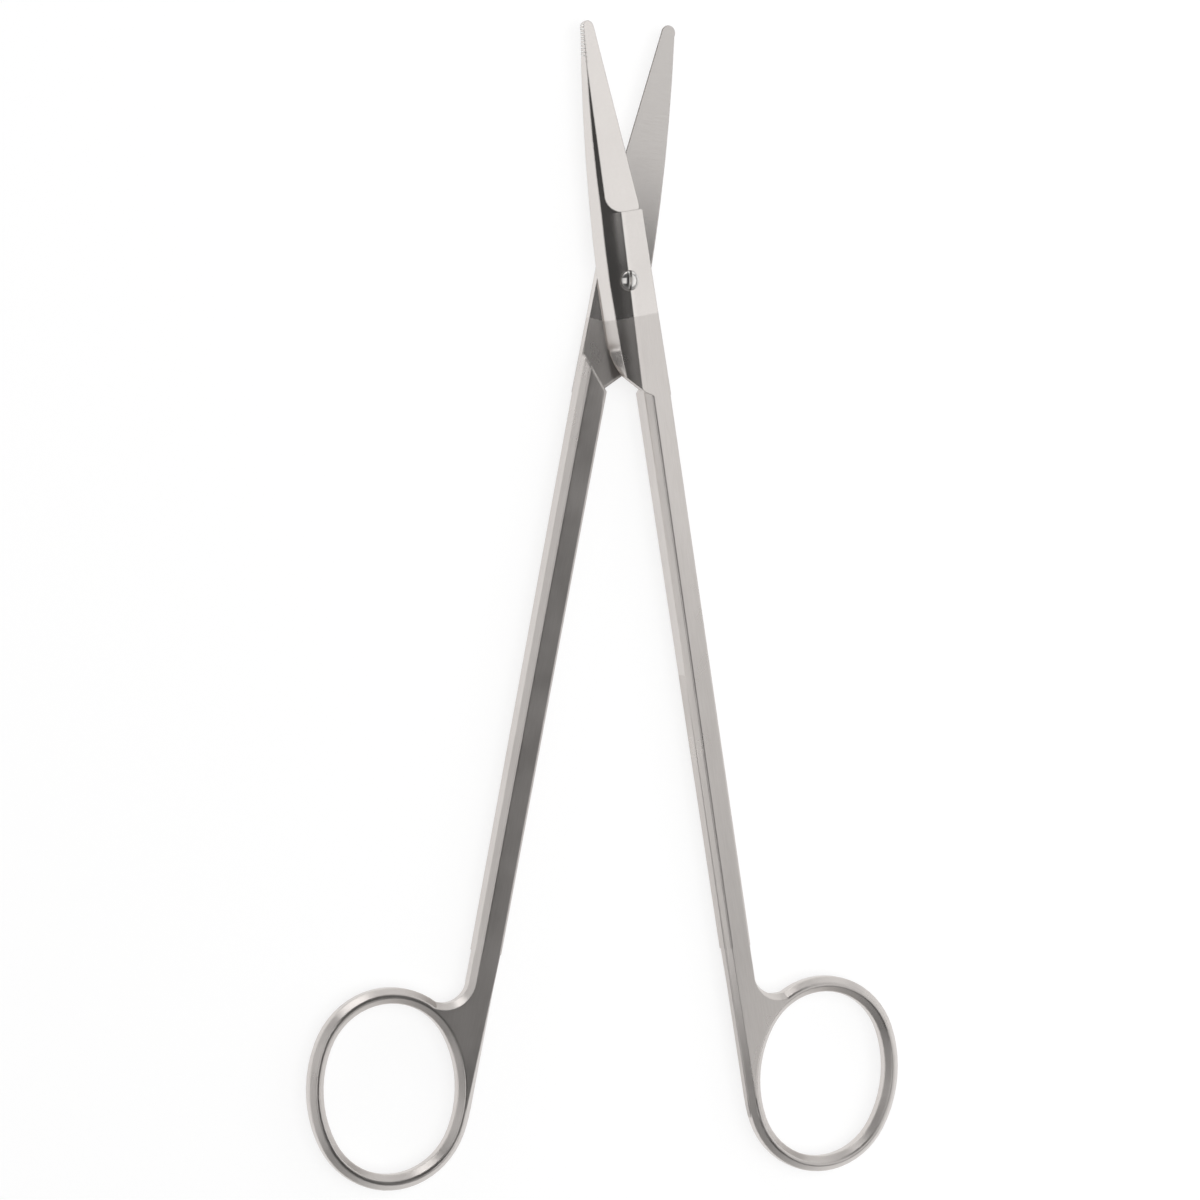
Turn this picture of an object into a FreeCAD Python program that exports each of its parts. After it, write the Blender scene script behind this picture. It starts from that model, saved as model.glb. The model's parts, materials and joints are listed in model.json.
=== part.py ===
import FreeCAD, Part
import math
import os

# Suture scissors, 200 mm long when closed, lying flat and open.
# All sizes are millimetres. Each half is first built in its own frame: the pivot axis is Z through the
# origin, +Y points to the blade tip, the finger ring lies towards -Y on the +X side, and the lapped
# face is Z = 0. A reach is a distance from the pivot axis along Y. The rear half is the same forging
# turned over about its long axis.

# Opening of the pair: angle between each half and the middle line
REST_HALF_ANGLE = 10.5

# Blade outline
BLADE_REACH = 44.75
TIP_EDGE_DROP = 1.2
TIP_EDGE_REACH = BLADE_REACH - TIP_EDGE_DROP
TIP_EDGE_OFFSET = 1.6
TIP_MIDDLE_OFFSET = 0.42
TIP_BACK_DROP = 1.6
TIP_BACK_REACH = BLADE_REACH - TIP_BACK_DROP
TIP_BACK_OFFSET = 0.9
BACK_BELLY_REACH = 22.0
BACK_BELLY_OFFSET = 3.5
HEEL_REACH = 12.4
HEEL_OFFSET = 5.0

# Blade thickness and grinding
EDGE_LAND = 0.12
TIP_THICKNESS = 1.22
TIP_THICKNESS_DROP = 6.2
TIP_THICKNESS_REACH = BLADE_REACH - TIP_THICKNESS_DROP
TAPER_START = 12.0
BEVEL_START = 11.7
BEVEL_SHOULDER_OFFSET = 4.8
BEVEL_TOP_REACH = 16.5
BEVEL_TOP_OFFSET = 1.95
BEVEL_LEFT_OFFSET = 2.05
BEVEL_CORNER_RADIUS = 3.0

# Lap joint
LAP_BACK_OFFSET = 4.8
LAP_EDGE_OFFSET = 5.0
LAP_RIDGE_HEIGHT = 3.0
LAP_RIDGE_OFFSET = 0.1
LAP_EDGE_HEIGHT = 1.5
LAP_BACK_HEIGHT = 2.4
LAP_RIDGE_RISE = 0.33
BACK_LAND = 0.35
BACK_BEVEL_INSET = 1.1
BACK_BEVEL_HEIGHT = 1.95
TIP_BEVEL_SHARE = 0.5
LAP_STOCK_HEIGHT = 4.0
LAP_STRAIGHT_END = 9.5
LAP_BEND_REACH = 13.1
LAP_BEND_OFFSET = 4.25
LAP_BEND_INSET = 0.65
LAP_CORNER_REACH = 16.0
LAP_CORNER_OFFSET = 3.0
LAP_END_OVERHANG = 0.2
NOTCH_REACH = 19.0
RIDGE_END_OFFSET = 1.9
LAP_GAP = 0.02

# Shoulder where the full thickness starts
SHOULDER_OUTER_REACH = 13.8
SHOULDER_INNER_REACH = 19.0
SHOULDER_LEAN = 0.75

# Shank
SHANK_START = 20.5
SHANK_END = 117.0
SHANK_START_INNER_OFFSET = 0.1
SHANK_END_INNER_OFFSET = -0.3
SHANK_END_OUTER_OFFSET = 4.3
SHANK_FOOT_HEIGHT = 1.35
SHANK_BACK_HEIGHT = 2.5
SHANK_RIDGE_INSET = 1.1
SHANK_END_RIDGE_INSET = 0.9
SHANK_ROUND = 0.45

# Finger ring and the web that carries it
RING_REACH = 142.4
RING_OFFSET = 14.6
RING_TILT = 14.6
RING_OPENING_WIDTH = 24.0
RING_OPENING_LENGTH = 28.9
RING_OPENING_END_RADIUS = 11.3
RING_WALL = 2.7
RING_THICKNESS = 3.6
RING_FLAT = 0.5
RING_SIDE = 1.5
RING_ROUND = 0.45
WEB_INNER_REACH = 143.6
WEB_FILLET_RADIUS = 4.3
WEB_FILLET_REACH = 122.4
WEB_RIM = 0.3

# Pivot screw
SCREW_HEAD_DIAMETER = 3.2
SCREW_SHANK_DIAMETER = 2.2
SCREW_HEAD_TOP = 3.0
SCREW_HEAD_SEAT = 1.6
SCREW_DOME = 0.3
SCREW_SLOT_WIDTH = 0.45
SCREW_SLOT_DEPTH = 0.6
SCREW_END = 2.8
RUNNING_CLEARANCE = 0.04
THREAD_CLEARANCE = 0.01

# Fine cross cuts along the outer ridge at the blade tip
TIP_CUTS = 8
TIP_CUT_PITCH = 0.7
TIP_CUT_DEPTH = 0.18

# Reach and height of the blocks that cut: more than the length and the thickness of a half
FAR = 400.0
HIGH = 10.0


def at(x, y, z=0.0):
    return FreeCAD.Vector(x, y, z)


def rounded_corners(points, radius):
    """Closed wire through the points with every corner replaced by an arc."""
    count = len(points)
    arcs = []
    for i in range(count):
        corner = points[i]
        before = (points[i - 1] - corner).normalize()
        after = (points[(i + 1) % count] - corner).normalize()
        half = before.getAngle(after) / 2.0
        reach = radius / math.tan(half)
        middle = (before + after).normalize()
        top = corner + middle * (radius / math.sin(half) - radius)
        arcs.append((corner + before * reach, top, corner + after * reach))
    edges = []
    for i in range(count):
        enter, top, leave = arcs[i]
        edges.append(Part.Arc(enter, top, leave).toShape())
        edges.append(Part.LineSegment(leave, arcs[(i + 1) % count][0]).toShape())
    return Part.Wire(edges)


def plan_prism(points, low, high):
    """Upright prism over a plan polygon given as (x, y) pairs."""
    loop = [at(x, y, low) for x, y in points]
    return Part.Face(Part.makePolygon(loop + loop[:1])).extrude(at(0, 0, high - low))


def space_above(a, b, c):
    """Block whose lower face is the plane through three points."""
    normal = (b - a).cross(c - a).normalize()
    if normal.z < 0:
        normal = normal * -1.0
    block = Part.makeBox(2 * FAR, 2 * FAR, FAR, at(-FAR, -FAR, 0))
    block.Placement = FreeCAD.Placement(a, FreeCAD.Rotation(at(0, 0, 1), normal))
    return block


def plane_height(a, b, c, x, y):
    """Height at (x, y) of the plane through three points."""
    normal = (b - a).cross(c - a)
    return a.z - (normal.x * (x - a.x) + normal.y * (y - a.y)) / normal.z


# Facets of the outer face. Each is a plane through three points.
EDGE_FACET = (
    at(-LAP_RIDGE_OFFSET, 0, LAP_RIDGE_HEIGHT),
    at(LAP_EDGE_OFFSET, 0, LAP_EDGE_HEIGHT),
    at(LAP_EDGE_OFFSET, -SHANK_START, LAP_EDGE_HEIGHT),
)
BACK_FACET = (
    at(-LAP_RIDGE_OFFSET, 0, LAP_RIDGE_HEIGHT),
    at(BACK_BEVEL_INSET - LAP_BACK_OFFSET, 0, LAP_BACK_HEIGHT),
    at(-LAP_RIDGE_OFFSET, -NOTCH_REACH, LAP_RIDGE_HEIGHT + LAP_RIDGE_RISE),
)
TAPER_FACET = (
    at(-LAP_RIDGE_OFFSET, TAPER_START, plane_height(*BACK_FACET, -LAP_RIDGE_OFFSET, TAPER_START)),
    at(-LAP_BACK_OFFSET, TAPER_START, plane_height(*BACK_FACET, -LAP_BACK_OFFSET, TAPER_START)),
    at(-TIP_BACK_OFFSET, TIP_THICKNESS_REACH, TIP_THICKNESS),
)
BEVEL_FACET = (
    at(TIP_EDGE_OFFSET, TIP_EDGE_REACH, EDGE_LAND),
    at(HEEL_OFFSET, HEEL_REACH, EDGE_LAND),
    at(-BEVEL_TOP_OFFSET, BEVEL_TOP_REACH, plane_height(*TAPER_FACET, -BEVEL_TOP_OFFSET, BEVEL_TOP_REACH)),
)


def blade_outline(height, inset):
    """Outline of blade and lap at a height. Its back edge is moved in by an inset, which fades out round the
    tip and towards the lap's end, where the wall leans out instead."""
    share = inset / BACK_BEVEL_INSET
    over = LAP_END_OVERHANG * share
    tip_inset = TIP_BEVEL_SHARE * inset
    edge_tip = at(TIP_EDGE_OFFSET, TIP_EDGE_REACH, height)
    back_tip = at(-TIP_BACK_OFFSET + inset, TIP_BACK_REACH, height)
    tip = at(TIP_MIDDLE_OFFSET + tip_inset, BLADE_REACH - tip_inset, height)
    belly = at(-BACK_BELLY_OFFSET + inset, BACK_BELLY_REACH, height)
    back = at(-LAP_BACK_OFFSET + inset, 0, height)
    back_end = at(-LAP_BACK_OFFSET + inset, -LAP_STRAIGHT_END, height)
    bend = at(-LAP_BEND_OFFSET + LAP_BEND_INSET * share, -LAP_BEND_REACH, height)
    corner = at(-LAP_CORNER_OFFSET - over, -LAP_CORNER_REACH - over, height)
    notch = at(-over, -NOTCH_REACH - over, height)
    ridge_end = at(RIDGE_END_OFFSET, -SHANK_START, height)
    outer_end = at(LAP_EDGE_OFFSET, -SHANK_START, height)
    shoulder = at(BEVEL_SHOULDER_OFFSET, BEVEL_START, height)
    heel = at(HEEL_OFFSET, HEEL_REACH, height)
    return Part.Wire([
        Part.Arc(edge_tip, tip, back_tip).toShape(),
        Part.Arc(back_tip, belly, back).toShape(),
        Part.LineSegment(back, back_end).toShape(),
        Part.Arc(back_end, bend, corner).toShape(),
        Part.LineSegment(corner, notch).toShape(),
        Part.LineSegment(notch, ridge_end).toShape(),
        Part.LineSegment(ridge_end, outer_end).toShape(),
        Part.LineSegment(outer_end, shoulder).toShape(),
        Part.LineSegment(shoulder, heel).toShape(),
        Part.LineSegment(heel, edge_tip).toShape(),
    ])


def blade_and_lap():
    """Half-thick front of a forging: blade with its bevels, and the lap."""
    rise = LAP_STOCK_HEIGHT - BACK_LAND
    inset = rise * BACK_BEVEL_INSET / BACK_BEVEL_HEIGHT
    land = Part.Face(blade_outline(LAP_GAP / 2, 0)).extrude(at(0, 0, BACK_LAND - LAP_GAP / 2))
    body = Part.makeLoft([blade_outline(BACK_LAND, 0), blade_outline(BACK_LAND + rise, inset)], True, True)
    body = land.fuse(body)
    for facet in (EDGE_FACET, BACK_FACET):
        body = body.cut(space_above(*facet))
    blade_side = plan_prism([(-HIGH, TAPER_START), (HIGH, TAPER_START), (HIGH, FAR), (-HIGH, FAR)],
                            -HIGH, HIGH)
    body = body.cut(space_above(*TAPER_FACET).common(blade_side))
    ground = rounded_corners(
        [at(-BEVEL_LEFT_OFFSET, BEVEL_START), at(FAR, BEVEL_START), at(FAR, FAR),
         at(-BEVEL_LEFT_OFFSET, FAR)], BEVEL_CORNER_RADIUS)
    ground = Part.Face(ground).extrude(at(0, 0, HIGH))
    body = body.cut(space_above(*BEVEL_FACET).common(ground))
    return body


def shank_section(reach, inner, outer, foot, inset, ridge, edge, back):
    """Roof section with its front ridge near the inner side. Its back is flat, bevelled on the outer side."""
    loop = [(inner, foot), (inner + inset, ridge), (outer, edge), (outer, -foot), (outer - inset, -back),
            (inner, -back)]
    return rounded_corners([at(x, -reach, z) for x, z in loop], SHANK_ROUND)


def shank():
    """Straight shank with its off-centre ridges, from the shoulder to the web."""
    ridge_x = SHANK_START_INNER_OFFSET + SHANK_RIDGE_INSET
    start = shank_section(SHANK_START, SHANK_START_INNER_OFFSET, LAP_EDGE_OFFSET, SHANK_FOOT_HEIGHT,
                          SHANK_RIDGE_INSET, plane_height(*EDGE_FACET, ridge_x, 0), LAP_EDGE_HEIGHT,
                          SHANK_BACK_HEIGHT)
    half = RING_THICKNESS / 2
    end = shank_section(SHANK_END, SHANK_END_INNER_OFFSET, SHANK_END_OUTER_OFFSET, RING_SIDE / 2,
                        SHANK_END_RIDGE_INSET, half, half, half)
    beam = Part.makeLoft([start, end], True, True)
    root = Part.Face(start).extrude(at(0, SHANK_START, 0))
    width = LAP_EDGE_OFFSET - SHANK_START_INNER_OFFSET
    slope = (SHOULDER_INNER_REACH - SHOULDER_OUTER_REACH) / width
    ahead = []
    for z, back_off in ((LAP_GAP / 2, 0.0), (-HIGH, SHOULDER_LEAN * HIGH / LAP_RIDGE_HEIGHT)):
        left = SHOULDER_INNER_REACH + back_off + slope * (HIGH + SHANK_START_INNER_OFFSET)
        right = SHOULDER_OUTER_REACH + back_off - slope * (HIGH - LAP_EDGE_OFFSET)
        loop = [at(-HIGH, -left, z), at(HIGH, -right, z), at(HIGH, HIGH, z), at(-HIGH, HIGH, z)]
        ahead.append(Part.makePolygon(loop + loop[:1]))
    root = root.cut(Part.makeLoft(ahead, True, True))
    root = root.cut(plan_prism([(-HIGH, -NOTCH_REACH), (HIGH, -NOTCH_REACH), (HIGH, HIGH), (-HIGH, HIGH)],
                               LAP_GAP / 2, HIGH))
    return beam.fuse(root)


def ring_oval(grow):
    """Closed oval of four tangent arcs, larger than the opening by grow all round."""
    half_width = RING_OPENING_WIDTH / 2
    half_length = RING_OPENING_LENGTH / 2
    end_radius = RING_OPENING_END_RADIUS
    rise = half_length - end_radius
    # the side arcs touch the end arcs: (side - end)^2 = rise^2 + (side - half_width)^2
    side_radius = (rise ** 2 + half_width ** 2 - end_radius ** 2) / (2 * (half_width - end_radius))
    shift = side_radius - half_width
    reach = math.hypot(shift, rise)
    touch_x = shift / reach * (end_radius + grow)
    touch_y = rise + rise / reach * (end_radius + grow)
    top = at(0, half_length + grow)
    side = at(half_width + grow, 0)
    corner = at(touch_x, touch_y)
    wire = Part.Wire([
        Part.Arc(at(-corner.x, corner.y), top, corner).toShape(),
        Part.Arc(corner, side, at(corner.x, -corner.y)).toShape(),
        Part.Arc(at(corner.x, -corner.y), at(0, -top.y), at(-corner.x, -corner.y)).toShape(),
        Part.Arc(at(-corner.x, -corner.y), at(-side.x, 0), at(-corner.x, corner.y)).toShape(),
    ])
    return wire


def place_ring(shape):
    """Tilt a shape built round the origin and set it where the finger ring is."""
    shape.Placement = FreeCAD.Placement(
        at(RING_OFFSET, -RING_REACH), FreeCAD.Rotation(at(0, 0, 1), -RING_TILT))
    return shape


def finger_ring():
    """Ring of bevelled section swept along the oval."""
    spine = ring_oval(RING_WALL / 2)
    start = spine.Edges[0].valueAt(spine.Edges[0].FirstParameter)
    along = spine.Edges[0].tangentAt(spine.Edges[0].FirstParameter)
    outward = along.cross(at(0, 0, 1)).normalize()
    if outward.dot(start) < 0:
        outward = outward * -1.0
    half = RING_THICKNESS / 2
    quarter = [(RING_FLAT / 2, half), (RING_WALL / 2, RING_SIDE / 2)]
    loop = quarter
    loop = loop + [(x, -z) for x, z in reversed(quarter)]
    loop = loop + [(-x, -z) for x, z in quarter]
    loop = loop + [(-x, z) for x, z in reversed(quarter)]
    section = rounded_corners([start + outward * x + at(0, 0, z) for x, z in loop], RING_ROUND)
    return place_ring(spine.makePipeShell([section], True, True))


def web_outline(height, inner_start, inner_end, outer_start, outer_end):
    """Outline of the web at a height. Its inner and outer sides are moved in by the given insets, which
    change evenly from the shank to the ring."""
    radius = WEB_FILLET_RADIUS
    inner = SHANK_END_INNER_OFFSET
    centre = at(SHANK_END_OUTER_OFFSET + radius, -WEB_FILLET_REACH, height)
    middle = (outer_start + outer_end) / 2
    diagonal = (radius + middle) * math.sqrt(0.5)
    start = at(SHANK_END_OUTER_OFFSET - outer_start, -SHANK_END, height)
    sweep_start = centre + at(-radius - outer_start, 0)
    sweep_middle = centre + at(-diagonal, -diagonal)
    sweep_end = centre + at(0, -radius - outer_end)
    ring_top = at(RING_OFFSET, sweep_end.y, height)
    ring_middle = at(RING_OFFSET, -WEB_INNER_REACH, height)
    inner_low = at(inner + inner_end, -WEB_INNER_REACH, height)
    inner_high = at(inner + inner_start, -SHANK_END, height)
    return Part.Wire([
        Part.LineSegment(start, sweep_start).toShape(),
        Part.Arc(sweep_start, sweep_middle, sweep_end).toShape(),
        Part.LineSegment(sweep_end, ring_top).toShape(),
        Part.LineSegment(ring_top, ring_middle).toShape(),
        Part.LineSegment(ring_middle, inner_low).toShape(),
        Part.LineSegment(inner_low, inner_high).toShape(),
        Part.LineSegment(inner_high, start).toShape(),
    ])


def web():
    """Flat web that joins shank and ring, with the concave sweep between them. The shank's bevels go on along
    it, the front one on its inner side and the back one round the sweep, and both end in the ring's bevel."""
    half = RING_THICKNESS / 2
    side = RING_SIDE / 2
    ring_bevel = (RING_WALL - RING_FLAT) / 2
    shank_bevel = SHANK_END_RIDGE_INSET
    plate = Part.Face(web_outline(-side, 0, 0, 0, 0)).extrude(at(0, 0, RING_SIDE))
    front = Part.makeLoft([web_outline(side, 0, 0, 0, 0),
                           web_outline(half, shank_bevel, ring_bevel, WEB_RIM, ring_bevel)], True, True)
    back = Part.makeLoft([web_outline(-side, 0, 0, 0, 0),
                          web_outline(-half, WEB_RIM, ring_bevel, shank_bevel, ring_bevel)], True, True)
    opening = Part.Face(place_ring(ring_oval(RING_WALL / 2))).extrude(at(0, 0, RING_THICKNESS))
    opening.translate(at(0, 0, -half))
    return plate.fuse([front, back]).cut(opening)


def tip_cuts():
    """Fine right-angled notches across the outer ridge of the blade tip. Each prism that cuts one is twice as
    high as the notch is deep."""
    high = 2 * TIP_CUT_DEPTH
    cuts = []
    for i in range(TIP_CUTS):
        y = TIP_BACK_REACH - (i + 0.5) * TIP_CUT_PITCH
        z = plane_height(*TAPER_FACET, -TIP_BACK_OFFSET, y) - TIP_CUT_DEPTH
        loop = [at(-HIGH, y, z), at(-HIGH, y + high, z + high), at(-HIGH, y - high, z + high)]
        cuts.append(Part.Face(Part.makePolygon(loop + loop[:1])).extrude(at(2 * HIGH, 0, 0)))
    return cuts


def half_forging():
    """One half without its screw hole."""
    body = blade_and_lap().fuse([shank(), web(), finger_ring()]).removeSplitter()
    return body.cut(tip_cuts())


def front_half():
    """Forging with the clearance hole and the counterbore for the screw."""
    bore = Part.makeCylinder(SCREW_SHANK_DIAMETER / 2 + RUNNING_CLEARANCE, 2 * HIGH, at(0, 0, -HIGH))
    seat = Part.makeCylinder(SCREW_HEAD_DIAMETER / 2 + RUNNING_CLEARANCE, HIGH, at(0, 0, SCREW_HEAD_SEAT))
    body = half_forging().cut([bore, seat])
    body.rotate(at(0, 0), at(0, 0, 1), REST_HALF_ANGLE)
    return body


def rear_half():
    """The same forging turned over, with the threaded hole for the screw."""
    bore = Part.makeCylinder(SCREW_SHANK_DIAMETER / 2 + THREAD_CLEARANCE, 2 * HIGH, at(0, 0, -HIGH))
    body = half_forging().cut(bore)
    body.rotate(at(0, 0), at(0, 1, 0), 180)
    body.rotate(at(0, 0), at(0, 0, 1), -REST_HALF_ANGLE)
    return body


def pivot_screw():
    """Slotted screw with a low domed head, threaded into the rear half."""
    head = SCREW_HEAD_DIAMETER / 2
    stem = SCREW_SHANK_DIAMETER / 2
    seat = SCREW_HEAD_SEAT + LAP_GAP
    crown = SCREW_HEAD_TOP + SCREW_DOME
    points = [at(0, 0, crown), at(0, 0, -SCREW_END), at(stem, 0, -SCREW_END), at(stem, 0, seat),
              at(head, 0, seat), at(head, 0, SCREW_HEAD_TOP)]
    edges = [Part.LineSegment(points[i], points[i + 1]).toShape() for i in range(len(points) - 1)]
    dome_radius = (head ** 2 + SCREW_DOME ** 2) / (2 * SCREW_DOME)
    half_turn = math.asin(head / dome_radius) / 2
    middle = at(dome_radius * math.sin(half_turn), 0, crown - dome_radius * (1 - math.cos(half_turn)))
    edges.append(Part.Arc(points[-1], middle, points[0]).toShape())
    screw = Part.Face(Part.Wire(edges)).revolve(at(0, 0), at(0, 0, 1), 360)
    slot = Part.makeBox(SCREW_SLOT_WIDTH, 2 * HIGH, HIGH,
                        at(-SCREW_SLOT_WIDTH / 2, -HIGH, crown - SCREW_SLOT_DEPTH))
    return screw.cut(slot)


def scissors():
    """The three pieces in their rest position, standing on Z = 0 about the middle of the base."""
    pieces = {"front_half": front_half(), "rear_half": rear_half(), "pivot_screw": pivot_screw()}
    box = Part.makeCompound(list(pieces.values())).optimalBoundingBox(False, False)
    middle = at(-(box.XMin + box.XMax) / 2, -(box.YMin + box.YMax) / 2, -box.ZMin)
    for piece in pieces.values():
        piece.translate(middle)
    return pieces, middle


if __name__ == "__main__":
    os.makedirs("parts", exist_ok=True)
    made, pivot = scissors()
    for name, piece in made.items():
        piece.exportStep("parts/" + name + ".step")
        print(name, piece.isValid(), len(piece.Solids), round(piece.Volume, 2))
    print("pivot", pivot)
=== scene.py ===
import json
import math

import bpy
from mathutils import Matrix, Vector


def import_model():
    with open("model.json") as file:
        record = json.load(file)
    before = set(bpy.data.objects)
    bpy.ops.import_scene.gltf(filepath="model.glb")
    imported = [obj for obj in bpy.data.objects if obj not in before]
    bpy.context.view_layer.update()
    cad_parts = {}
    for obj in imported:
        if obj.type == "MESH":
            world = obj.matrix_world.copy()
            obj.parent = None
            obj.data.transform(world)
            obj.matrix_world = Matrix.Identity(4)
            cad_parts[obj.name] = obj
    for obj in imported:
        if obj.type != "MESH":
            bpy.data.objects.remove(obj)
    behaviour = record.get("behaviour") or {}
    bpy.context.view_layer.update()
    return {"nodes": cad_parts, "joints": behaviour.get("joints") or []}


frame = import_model()
nodes = frame["nodes"]
pivot = Vector(frame["joints"][0]["pos_m"])

# Suture scissors in satin and polished steel, lying open on a pale floor. Lengths are in metres. Each half
# has its own axes: the pivot is the origin, X runs sideways and Y to the blade tip, and a place along that Y
# is called a reach.

# Camera: it looks down on the scissors from their left side
CAMERA_DISTANCE = 0.8
CAMERA_SIDE_ANGLE = math.radians(23.0)
CAMERA_TILT = math.radians(1.72)
CAMERA_ROLL = math.radians(1.073)
CAMERA_AIM_FROM_PIVOT = Vector((-0.00332, -0.05468, 0.0))
CAMERA_LENS = 140.16
CAMERA_SENSOR = 36.0
CAMERA_CLIP = (0.05, 20.0)

# Half of the angle between the two halves at rest
REST_HALF_ANGLE = math.radians(10.5)

# Steel: colour and roughness go from the first value to the second over the noise's middle range
SATIN_COLOURS = ((0.61, 0.575, 0.55, 1), (0.69, 0.655, 0.63, 1))
SATIN_ROUGHNESS = (0.27, 0.33)
POLISHED_COLOURS = ((0.70, 0.665, 0.64, 1), (0.76, 0.725, 0.70, 1))
POLISHED_ROUGHNESS = (0.15, 0.20)
NOISE_RANGE = (0.3, 0.7)

# Brushing lengthwise on the satin, grinding across on the polish, and clouds over both
BRUSHING_SCALES = (9000.0, 260.0, 9000.0)
GRINDING_SCALES = (350.0, 7000.0, 7000.0)
CLOUD_SCALE = 90.0
STREAK_STRENGTH = 0.12
STREAK_DEPTH = 0.00002

# Polish: where it ends behind the pivot, and how soft and how ragged that line is
POLISH_END_FRONT = 0.0063
POLISH_END_REAR = 0.0075
POLISH_END_SOFTNESS = 0.00012
POLISH_END_RAGGEDNESS = 0.0004
POLISH_END_NOISE_SCALE = 2500.0

# Rounding that edges show, and the wider rounding between two reaches at the rear half's shoulder
EDGE_ROUNDING = 0.00025
SHOULDER_ROUNDING = 0.0007
SHOULDER_START = -0.0130
SHOULDER_START_EASE = 0.001
SHOULDER_END = -0.0210
SHOULDER_END_EASE = 0.002

# Soft hollow beside the ridge of the front half's lap: its width on both sides of the ridge, its drop,
# the ridge's place and lean, the reach where the ground blade starts, and the least height of the outer face
HOLLOW_BACK = 0.0024
HOLLOW_FRONT = 0.0009
HOLLOW_DROP = 0.00026
RIDGE_OFFSET = -0.0001
RIDGE_LEAN = 0.0377
BLADE_START = 0.0117
OUTER_FACE_HEIGHT = 0.001

# Eased walls round the front half's lap end: where they start, how softly, how far a steep wall's normal
# may rise, and how much its shading leans up
LAP_END_START = -0.0105
LAP_END_EASE = 0.002
STEEP_RISE = (0.6, 0.85)
WALL_LIFT = 0.8

# Fine teeth beside the front blade's tip, with painted glints on them: their ends, the line they follow,
# their width and pitch, how they slant, and the part of the wave that is tooth
TEETH_END = 0.0445
TEETH_START = 0.0388
TEETH_START_EASE = 0.0004
TEETH_OFFSET = -0.0008
TEETH_LEAN = 0.165
TEETH_HALF_WIDTH = 0.0006
TEETH_CORE_SHARE = 0.4
TEETH_PITCH = 0.0007
TEETH_SLANT = 0.7
TEETH_WAVE = (-0.4, 0.6)
TEETH_DEPTH = 0.00012
# Near-white colour painted on the teeth as glints; the teeth are also made matt there
TEETH_GLINT_COLOUR = (0.98, 0.97, 0.95, 1)

# Pivot screw: radius of its head, the painted shade line in the gap around it, how round its dome shades, and
# the turned rings, in radians of their wave per metre of radius
SCREW_RADIUS = 0.0016
SCREW_GAP = 0.00018
# Near-black colour painted as shade in the gap round the screw's head, and how strongly it is painted
SCREW_GAP_SHADE_SHARE = 0.9
SCREW_GAP_SHADE_COLOUR = (0.06, 0.055, 0.05, 1)
SCREW_COLOURS = ((0.70, 0.68, 0.66, 1), (0.80, 0.78, 0.76, 1))
SCREW_COLOUR_RANGE = (0.35, 0.65)
SCREW_ROUGHNESS = (0.12, 0.2)
SCREW_WEAR_SCALE = 1800.0
SCREW_DOME_RADIUS = 0.0042
SCREW_RING_RATE = 60000.0
SCREW_RING_STRENGTH = 0.06
SCREW_RING_DEPTH = 0.00001

# Floor
WHITE = (1, 1, 1, 1)
FLOOR_SIZE = 6.0
FLOOR_DROP = 0.00002
FLOOR_COLOUR = (0.86, 0.86, 0.86, 1)
FLOOR_GLOW = 1.12
FLOOR_GLOW_SHARE = 0.65

# World: lightness straight up and at the horizon, and the height of the way up where the first is reached
SKY_TOP = 0.06
SKY_HORIZON = 0.42
SKY_TOP_START = 0.8

# Studio lamps: ways they face, height of the level panels on the right, and place of the upright ones
DOWN = (0, 0, -1)
TO_RIGHT = (1, 0, 0)
LEVEL_HEIGHT = 0.22
UPRIGHT_SIDE = -0.50


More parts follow.
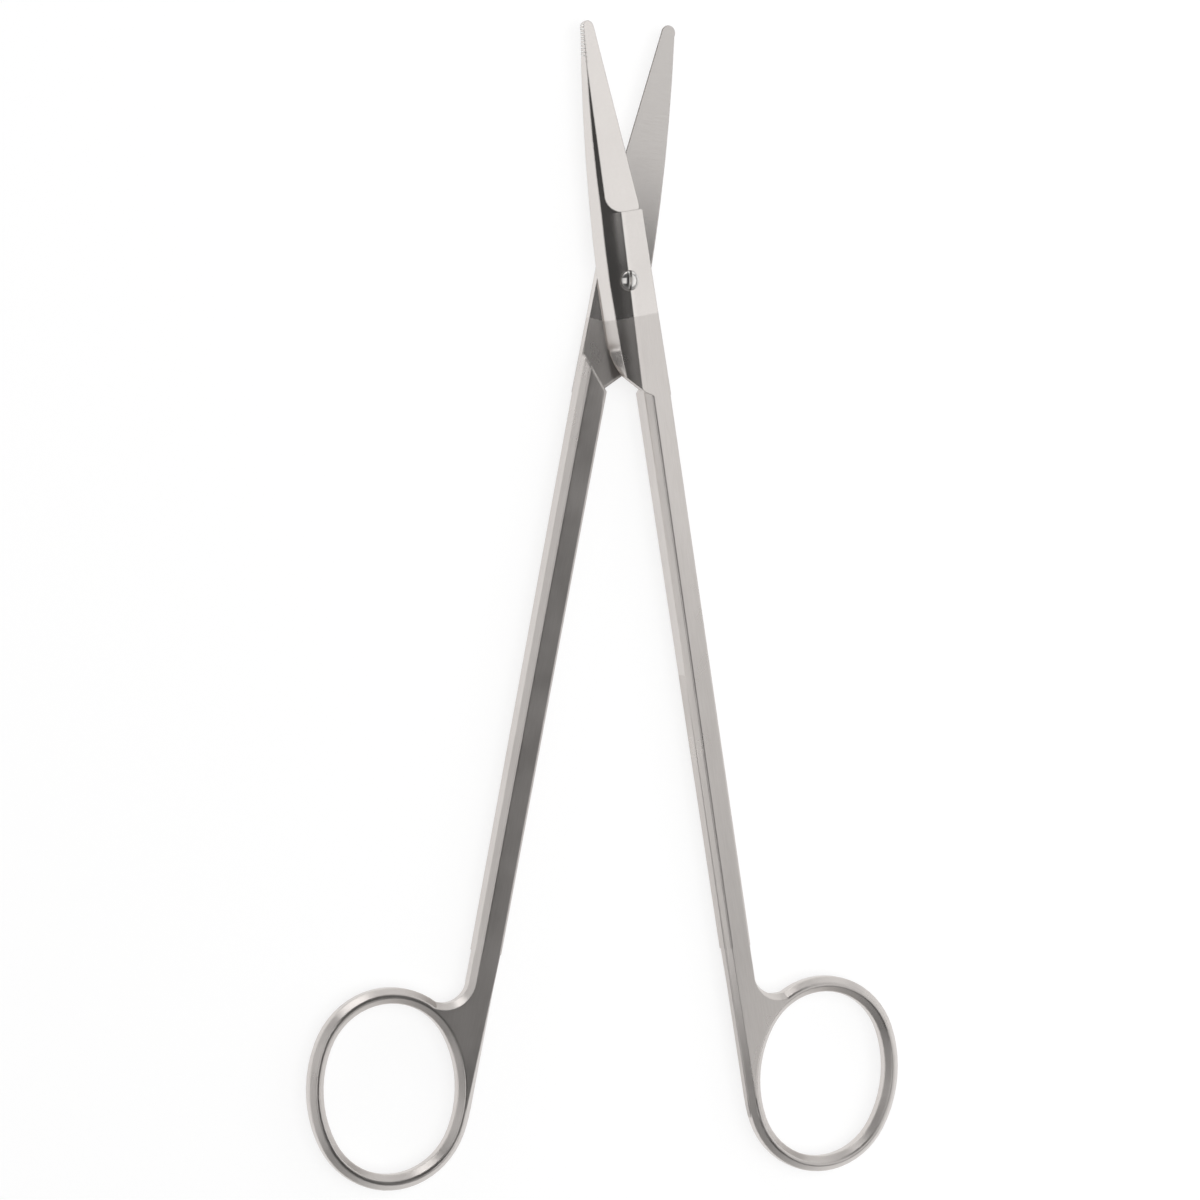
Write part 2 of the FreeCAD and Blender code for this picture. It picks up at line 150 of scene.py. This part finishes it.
class Shader:
    """A node tree with short calls for adding nodes and links."""

    def __init__(self, tree):
        self.tree = tree
        tree.nodes.clear()

    def node(self, kind, **inputs):
        made = self.tree.nodes.new(kind)
        for name, value in inputs.items():
            self.feed(made.inputs[name.replace("_", " ")], value)
        return made

    def feed(self, socket, value):
        if isinstance(value, bpy.types.NodeSocket):
            self.tree.links.new(value, socket)
        else:
            socket.default_value = value

    def feed_all(self, sockets, values):
        for socket, value in zip(sockets, values):
            self.feed(socket, value)

    def output(self, kind, surface):
        self.feed(self.node(kind).inputs["Surface"], surface)

    def math(self, operation, *values):
        made = self.node("ShaderNodeMath")
        made.operation = operation
        self.feed_all(made.inputs, values)
        return made.outputs[0]

    def vector_math(self, operation, *values):
        made = self.node("ShaderNodeVectorMath")
        made.operation = operation
        self.feed_all(made.inputs, values)
        return made.outputs["Value" if operation == "LENGTH" else "Vector"]

    def split(self, vector):
        """The three numbers of a vector."""
        return tuple(self.node("ShaderNodeSeparateXYZ", Vector=vector).outputs)

    def spread(self, value, low, high, new_low=0.0, new_high=1.0):
        """Value mapped smoothly from one range to another, and held at its ends."""
        made = self.node("ShaderNodeMapRange")
        made.interpolation_type = "SMOOTHSTEP"
        self.feed_all(made.inputs, (value, low, high, new_low, new_high))
        return made.outputs[0]

    def blend(self, share, first, second):
        """Number between first and second."""
        return self.node("ShaderNodeMix", Factor=share, A=first, B=second).outputs[0]

    def blend_colour(self, share, first, second):
        """Colour between first and second."""
        made = self.node("ShaderNodeMix")
        made.data_type = "RGBA"
        self.feed_all((made.inputs[0], made.inputs[6], made.inputs[7]), (share, first, second))
        return made.outputs[2]

    def noise(self, place, scale, detail=2.0, roughness=0.5):
        made = self.node("ShaderNodeTexNoise", Vector=place, Scale=scale, Detail=detail, Roughness=roughness)
        return made.outputs[0]

    def bump(self, height, strength, distance, normal):
        """Normal bent by a height."""
        made = self.node("ShaderNodeBump", Height=height, Strength=strength, Distance=distance, Normal=normal)
        return made.outputs[0]

    def soft_edges(self, radius):
        """Normal that rounds the edges of the surface."""
        made = self.node("ShaderNodeBevel", Radius=radius)
        made.samples = 6
        return made.outputs[0]

    def metal(self, **inputs):
        """Surface of the shader for steel."""
        self.output("ShaderNodeOutputMaterial", self.node("ShaderNodeBsdfPrincipled", **inputs).outputs[0])


def new_material(name):
    """Empty material and its shader."""
    material = bpy.data.materials.new(name)
    material.use_nodes = True
    return material, Shader(material.node_tree)


def own_place(s, angle):
    """Position in a half's own axes, for a half turned by an angle at rest."""
    where = s.node("ShaderNodeTexCoord").outputs["Object"]
    made = s.node("ShaderNodeMapping", Vector=where, Location=pivot, Rotation=(0.0, 0.0, angle))
    made.vector_type = "TEXTURE"
    return made.outputs[0]


def distance_from_axis(s, place):
    """Distance of a place from the pivot's axis."""
    return s.vector_math("LENGTH", s.vector_math("MULTIPLY", place, (1.0, 1.0, 0.0)))


def lap_hollow(s, side, reach, height, normal):
    """Normal of the soft hollow beside the ridge of the lap, on the outer face up to the ground blade."""
    ridge = s.math("MULTIPLY_ADD", reach, RIDGE_LEAN, RIDGE_OFFSET)
    from_ridge = s.math("SUBTRACT", side, ridge)
    drop = s.spread(from_ridge, -HOLLOW_BACK, HOLLOW_FRONT, 0.0, -HOLLOW_DROP)
    below_blade = s.math("LESS_THAN", reach, BLADE_START)
    outer_face = s.math("GREATER_THAN", height, OUTER_FACE_HEIGHT)
    return s.bump(drop, s.math("MULTIPLY", below_blade, outer_face), 1.0, normal)


def eased_walls(s, side, reach, normal):
    """Normal that leans up on the steep walls round the lap's end, on the back side of the ridge."""
    rise = s.split(normal)[2]
    steep = s.spread(rise, *STEEP_RISE, 1.0, 0.0)
    at_end = s.spread(reach, LAP_END_START - LAP_END_EASE, LAP_END_START, 1.0, 0.0)
    back_side = s.math("LESS_THAN", side, RIDGE_OFFSET)
    share = s.math("MULTIPLY", s.math("MULTIPLY", steep, at_end), back_side)
    lift = s.node("ShaderNodeCombineXYZ", Z=s.math("MULTIPLY", share, WALL_LIFT))
    return s.vector_math("NORMALIZE", s.vector_math("ADD", normal, lift.outputs[0]))


def teeth_and_painted_glints(s, side, reach, height):
    """Row of fine teeth beside the blade's tip, which also carry painted glints, from 0 between them to 1 on
    them.
    """
    from_end = s.math("SUBTRACT", reach, TEETH_END)
    line = s.math("MULTIPLY_ADD", from_end, TEETH_LEAN, TEETH_OFFSET)
    off_line = s.math("ABSOLUTE", s.math("SUBTRACT", side, line))
    row = s.spread(off_line, TEETH_HALF_WIDTH * TEETH_CORE_SHARE, TEETH_HALF_WIDTH, 1.0, 0.0)
    along = s.math("MULTIPLY_ADD", side, TEETH_SLANT, reach)
    wave = s.math("SINE", s.math("MULTIPLY", along, 2 * math.pi / TEETH_PITCH))
    started = s.spread(reach, TEETH_START - TEETH_START_EASE, TEETH_START + TEETH_START_EASE)
    outer_face = s.math("GREATER_THAN", height, 0.0)
    on_tooth_and_glint = s.math("MULTIPLY", s.spread(wave, *TEETH_WAVE), outer_face)
    return s.math("MULTIPLY", s.math("MULTIPLY", row, started), on_tooth_and_glint)


def shoulder_rounding(s, reach):
    """Radius of edge rounding, wider between the start and the end of the shoulder."""
    start = s.spread(reach, SHOULDER_START, SHOULDER_START + SHOULDER_START_EASE,
                     SHOULDER_ROUNDING, EDGE_ROUNDING)
    end = s.spread(reach, SHOULDER_END - SHOULDER_END_EASE, SHOULDER_END, EDGE_ROUNDING, SHOULDER_ROUNDING)
    return s.math("MINIMUM", start, end)


def forged_steel(name, angle, polish_end, front):
    """Stainless steel: satin on shank and ring, polished from a line behind the pivot to the tip."""
    material, s = new_material(name)
    place = own_place(s, angle)
    side, reach, height = s.split(place)
    # where the polish starts, with a ragged edge
    ragged = s.math("MULTIPLY_ADD", s.noise(place, POLISH_END_NOISE_SCALE),
                    POLISH_END_RAGGEDNESS, -POLISH_END_RAGGEDNESS / 2)
    polish = s.spread(s.math("ADD", reach, ragged),
                      -polish_end - POLISH_END_SOFTNESS, -polish_end + POLISH_END_SOFTNESS)
    # streaks and clouds, and the colour and roughness that follow them
    brushing = s.noise(s.vector_math("MULTIPLY", place, BRUSHING_SCALES), 1.0, 4.0, 0.6)
    grinding = s.noise(s.vector_math("MULTIPLY", place, GRINDING_SCALES), 1.0, 3.0, 0.6)
    streaks = s.blend(polish, brushing, grinding)
    cloud = s.noise(place, CLOUD_SCALE, 3.0, 0.55)
    tone = s.spread(s.blend(0.5, streaks, cloud), *NOISE_RANGE)
    colour = s.blend_colour(polish, s.blend_colour(tone, *SATIN_COLOURS),
                            s.blend_colour(tone, *POLISHED_COLOURS))
    roughness = s.blend(polish, s.spread(cloud, *NOISE_RANGE, *SATIN_ROUGHNESS),
                        s.spread(cloud, *NOISE_RANGE, *POLISHED_ROUGHNESS))
    # painted shade: a dark line in the gap round the screw's head, standing in for the shade that falls there
    off_screw = s.math("ABSOLUTE", s.math("SUBTRACT", distance_from_axis(s, place), SCREW_RADIUS))
    painted_gap_shade = s.spread(off_screw, 0.0, SCREW_GAP, SCREW_GAP_SHADE_SHARE, 0.0)
    colour = s.blend_colour(painted_gap_shade, colour, SCREW_GAP_SHADE_COLOUR)
    if front:
        # the teeth as bumps, painted near-white and matt as glints
        on_teeth_and_painted_glints = teeth_and_painted_glints(s, side, reach, height)
        colour = s.blend_colour(on_teeth_and_painted_glints, colour, TEETH_GLINT_COLOUR)
        metallic = s.math("SUBTRACT", 1.0, on_teeth_and_painted_glints)
        normal = eased_walls(s, side, reach, s.soft_edges(EDGE_ROUNDING))
        normal = lap_hollow(s, side, reach, height, normal)
        normal = s.bump(on_teeth_and_painted_glints, 1.0, TEETH_DEPTH, normal)
    else:
        metallic = 1.0
        normal = s.soft_edges(shoulder_rounding(s, reach))
    s.metal(Base_Color=colour, Metallic=metallic, Roughness=roughness,
            Normal=s.bump(streaks, STREAK_STRENGTH, STREAK_DEPTH, normal))
    return material


def screw_steel():
    """Turned and polished steel with faint rings about the screw's axis."""
    material, s = new_material("screw_steel")
    place = own_place(s, 0.0)
    radius = distance_from_axis(s, place)
    dome = s.math("MULTIPLY", s.math("MULTIPLY", radius, radius), -0.5 / SCREW_DOME_RADIUS)
    domed = s.bump(dome, 1.0, 1.0, s.soft_edges(EDGE_ROUNDING / 2))
    rings = s.math("SINE", s.math("MULTIPLY", radius, SCREW_RING_RATE))
    worn = s.noise(place, SCREW_WEAR_SCALE, 3.0)
    s.metal(Base_Color=s.blend_colour(s.spread(worn, *SCREW_COLOUR_RANGE), *SCREW_COLOURS), Metallic=1.0,
            Roughness=s.spread(worn, *NOISE_RANGE, *SCREW_ROUGHNESS),
            Normal=s.bump(rings, SCREW_RING_STRENGTH, SCREW_RING_DEPTH, domed))
    return material


def dress(node, material):
    """Put the material in every slot of a node of the frame."""
    for slot in nodes[node].material_slots:
        slot.material = material


def place_object(name, data):
    """New object of the scene with its data."""
    made = bpy.data.objects.new(name, data)
    bpy.context.scene.collection.objects.link(made)
    return made


def floor():
    """Plain floor that shows white and keeps the object's shadow."""
    half = FLOOR_SIZE / 2
    corners = [(-half, -half, 0), (half, -half, 0), (half, half, 0), (-half, half, 0)]
    mesh = bpy.data.meshes.new("floor")
    mesh.from_pydata(corners, [], [(0, 1, 2, 3)])
    plane = place_object("floor", mesh)
    plane.location.z = -FLOOR_DROP
    material, s = new_material("floor")
    paper = s.node("ShaderNodeBsdfDiffuse", Color=FLOOR_COLOUR)
    glow = s.node("ShaderNodeEmission", Color=WHITE, Strength=FLOOR_GLOW)
    path = s.node("ShaderNodeLightPath")
    in_metal = s.math("MAXIMUM", path.outputs["Is Glossy Ray"], path.outputs["Is Transmission Ray"])
    seen = s.math("MAXIMUM", path.outputs["Is Camera Ray"], in_metal)
    mix = s.node("ShaderNodeMixShader")
    s.feed_all(mix.inputs, (s.math("MULTIPLY", seen, FLOOR_GLOW_SHARE), paper.outputs[0], glow.outputs[0]))
    s.output("ShaderNodeOutputMaterial", mix.outputs[0])
    mesh.materials.append(material)


def softbox(name, centre, facing, width, height, strength, in_metal=True):
    """Area lamp at a place, with the way it faces. Width lies level, and strength is its radiance."""
    lamp = bpy.data.lights.new(name, "AREA")
    lamp.shape = "RECTANGLE"
    lamp.size = width
    lamp.size_y = height
    lamp.energy = strength * width * height * math.pi
    holder = place_object(name, lamp)
    holder.location = centre
    holder.rotation_mode = "QUATERNION"
    holder.rotation_quaternion = Vector(facing).to_track_quat("-Z", "Y")
    holder.visible_camera = False
    holder.visible_glossy = in_metal


def world():
    """Grey studio, lighter at the horizon."""
    made = bpy.data.worlds.new("studio")
    bpy.context.scene.world = made
    made.use_nodes = True
    s = Shader(made.node_tree)
    up = s.split(s.node("ShaderNodeTexCoord").outputs["Generated"])[2]
    horizon = (SKY_HORIZON, SKY_HORIZON, SKY_HORIZON, 1)
    top = (SKY_TOP, SKY_TOP, SKY_TOP, 1)
    colour = s.blend_colour(s.spread(up, 0.0, SKY_TOP_START), horizon, top)
    s.output("ShaderNodeOutputWorld", s.node("ShaderNodeBackground", Color=colour, Strength=1.0).outputs[0])


def camera():
    """Camera at the photo's viewing angle, aimed from the pivot."""
    data = bpy.data.cameras.new("camera")
    data.lens = CAMERA_LENS
    data.sensor_width = CAMERA_SENSOR
    data.clip_start, data.clip_end = CAMERA_CLIP
    holder = place_object("camera", data)
    turn = (Matrix.Rotation(CAMERA_ROLL, 4, "Z") @ Matrix.Rotation(-CAMERA_SIDE_ANGLE, 4, "Y")
            @ Matrix.Rotation(-CAMERA_TILT, 4, "X"))
    aim = pivot + CAMERA_AIM_FROM_PIVOT
    back = turn.to_3x3() @ Vector((0, 0, 1))
    holder.matrix_world = Matrix.Translation(aim + back * CAMERA_DISTANCE) @ turn
    bpy.context.scene.camera = holder


dress("front_half", forged_steel("front_steel", REST_HALF_ANGLE, POLISH_END_FRONT, True))
dress("rear_half", forged_steel("rear_steel", -REST_HALF_ANGLE, POLISH_END_REAR, False))
dress("pivot_screw", screw_steel())
floor()
world()
# Level panels over the right side, with their near edge closer at blades and rings than at the joint
softbox("near_rings", (0.170, -0.17, LEVEL_HEIGHT), DOWN, 0.16, 0.26, 0.74)
softbox("near_joint", (0.180, 0.02, LEVEL_HEIGHT), DOWN, 0.14, 0.12, 0.70)
softbox("near_blades", (0.158, 0.24, LEVEL_HEIGHT), DOWN, 0.185, 0.32, 0.72)
softbox("far_right", (0.58, 0.05, LEVEL_HEIGHT), DOWN, 0.66, 0.70, 0.85)
# Upright panels low on the left: two for the front half's shank, two above each other for the rear half's
softbox("left_rings", (UPRIGHT_SIDE, -0.32, 0.108), TO_RIGHT, 0.27, 0.125, 0.78)
softbox("left_shanks", (UPRIGHT_SIDE, -0.118, 0.108), TO_RIGHT, 0.135, 0.125, 1.06)
softbox("left_low", (UPRIGHT_SIDE, 0.20, 0.098), TO_RIGHT, 0.50, 0.105, 0.22)
softbox("left_high", (UPRIGHT_SIDE, 0.20, 0.205), TO_RIGHT, 0.50, 0.11, 0.74)
# Wide level panel high on the left, which lights the rounded ridges
softbox("high_left", (-0.725, 0.0, 1.0), DOWN, 0.85, 1.0, 0.9)
# Panels behind the tips, and a wide soft lamp overhead that only matt surfaces such as the floor show
softbox("behind_tips", (0.15, 0.55, 0.10), (-0.1, -1, 0), 0.90, 0.18, 0.62)
softbox("behind_left", (-0.26, 0.56, 0.22), (0.3, -1, -0.2), 0.40, 0.13, 2.2)
softbox("overhead", (0.0, 0.0, 1.2), DOWN, 1.2, 1.2, 2.0, in_metal=False)
camera()

bpy.context.scene.view_settings.view_transform = "Standard"
